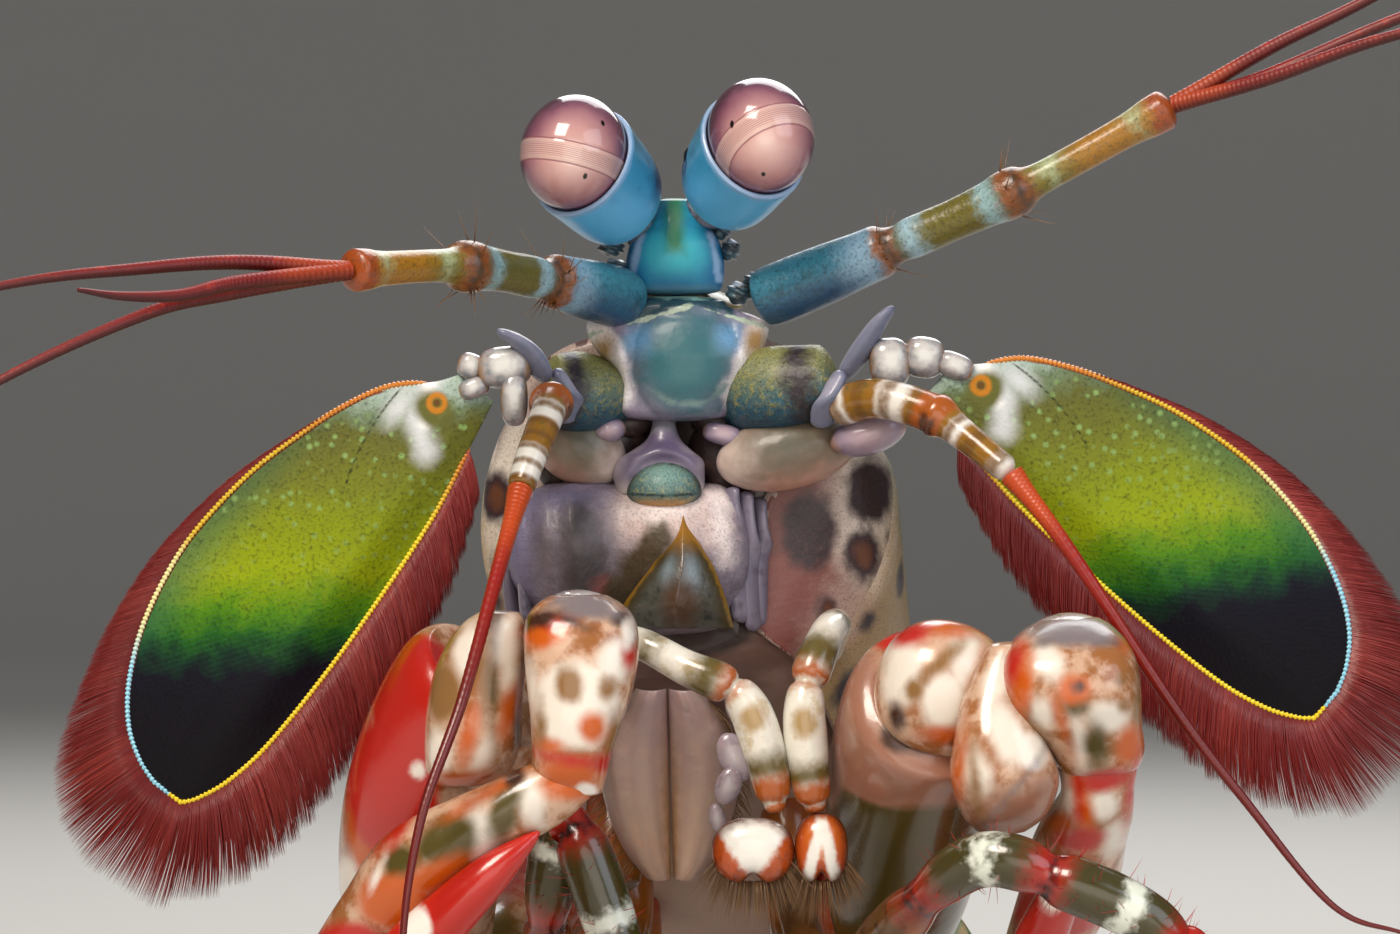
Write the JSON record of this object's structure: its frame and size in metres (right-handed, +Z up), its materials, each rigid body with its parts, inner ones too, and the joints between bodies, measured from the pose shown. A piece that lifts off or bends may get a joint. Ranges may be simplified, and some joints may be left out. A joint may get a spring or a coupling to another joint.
{
  "type": "mantis shrimp",
  "caption": "Life-size museum model of a peacock mantis shrimp, reared up with its head, eyes and antennal scales turned to the viewer, raptorial limbs folded and tail fan on the floor",
  "frame": {"origin": "on the floor, under the middle of the model's bounding box", "axes": "+Z up, -Y is the way the head faces, +X is the animal's left"},
  "size_m": [0.0836, 0.147, 0.0711],
  "materials": {
    "olive_shell": "smooth hard shell, olive brown going pink at the front rim",
    "green_shell": "smooth hard shell, deep green",
    "joint_skin": "dull soft skin between the shell plates",
    "teal_shell": "smooth hard shell, teal",
    "blue_shell": "smooth hard shell, bright blue",
    "lavender_shell": "smooth hard shell, white and lavender",
    "cream_shell": "smooth hard shell, cream with brown marks",
    "leopard_shell": "glossy hard shell, cream with spots",
    "amber_shell": "smooth hard shell, amber",
    "crimson_shell": "thin flexible shell, deep red",
    "scarlet_shell": "smooth hard shell, scarlet and olive",
    "leaf_green_shell": "thin glossy plate, yellow green to dark green, crimson fringe",
    "cornea": "wet-looking clear cornea over mauve and cream"
  },
  "bodies": {
    "root": {"abdomen_1": "green_shell", "abdomen_2": "green_shell", "abdomen_3": "green_shell", "abdomen_4": "green_shell", "abdomen_5": "green_shell", "abdomen_6": "green_shell", "antenna_base_left": "lavender_shell", "antenna_base_right": "lavender_shell", "antenna_stalk_left": "cream_shell", "antenna_stalk_right": "cream_shell", "antenna_whip_left": "crimson_shell", "antenna_whip_right": "crimson_shell", "antennal_scale_left": "leaf_green_shell", "antennal_scale_right": "leaf_green_shell", "antennular_somite": "teal_shell", "antennule_left": "amber_shell", "antennule_right": "amber_shell", "antennule_whips_left": "crimson_shell", "antennule_whips_right": "crimson_shell", "carapace": "olive_shell", "cephalothorax": "joint_skin", "cornea_left": "cornea", "cornea_right": "cornea", "epistome": "lavender_shell", "eye_stalk_left": "blue_shell", "eye_stalk_right": "blue_shell", "labrum": "teal_shell", "mandibles": "cream_shell", "maxillae": "cream_shell", "maxilliped_1_left": "cream_shell", "maxilliped_1_right": "cream_shell", "maxilliped_3_left": "scarlet_shell", "maxilliped_3_right": "scarlet_shell", "maxilliped_4_left": "scarlet_shell", "maxilliped_4_right": "scarlet_shell", "maxilliped_5_left": "scarlet_shell", "maxilliped_5_right": "scarlet_shell", "ophthalmic_somite": "blue_shell", "raptorial_carpus_left": "leopard_shell", "raptorial_carpus_right": "leopard_shell", "raptorial_dactyl_left": "scarlet_shell", "raptorial_dactyl_right": "scarlet_shell", "raptorial_ischium_left": "scarlet_shell", "raptorial_ischium_right": "scarlet_shell", "raptorial_merus_left": "leopard_shell", "raptorial_merus_right": "leopard_shell", "raptorial_propodus_left": "leopard_shell", "raptorial_propodus_right": "leopard_shell", "rostral_plate": "olive_shell", "telson": "green_shell", "thorax": "olive_shell", "uropod_left": "green_shell", "uropod_right": "green_shell", "walking_leg_1_left": "scarlet_shell", "walking_leg_1_right": "scarlet_shell", "walking_leg_2_left": "scarlet_shell", "walking_leg_2_right": "scarlet_shell", "walking_leg_3_left": "scarlet_shell", "walking_leg_3_right": "scarlet_shell"}
  },
  "joints": []
}
